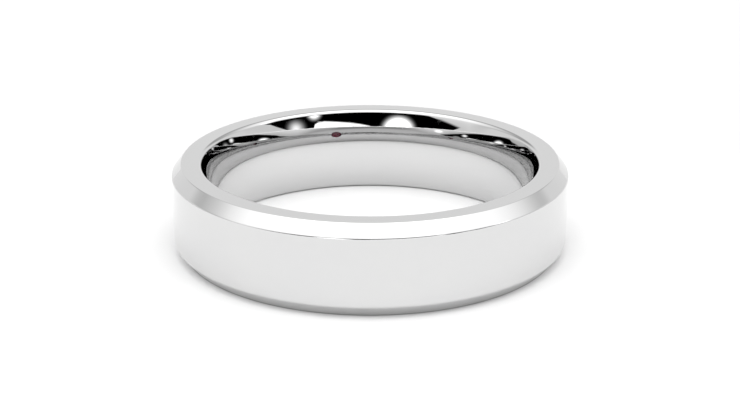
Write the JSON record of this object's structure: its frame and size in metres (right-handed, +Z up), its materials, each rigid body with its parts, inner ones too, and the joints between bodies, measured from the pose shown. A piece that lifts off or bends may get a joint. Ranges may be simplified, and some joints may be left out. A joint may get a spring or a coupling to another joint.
{
  "type": "wedding band",
  "caption": "Polished platinum court wedding band with bevelled outer edges and a small round ruby flush set inside the finger hole.",
  "frame": {"origin": "centre of the finger hole on the plane of the lower flat edge that the band lies on", "axes": "+Z up along the finger hole, -Y towards the front, +X to the right seen from the front"},
  "size_m": [0.0222, 0.0222, 0.005],
  "materials": {
    "platinum": "polished",
    "ruby": "polished"
  },
  "bodies": {
    "root": {"band": "platinum", "ruby": "ruby"}
  },
  "joints": []
}
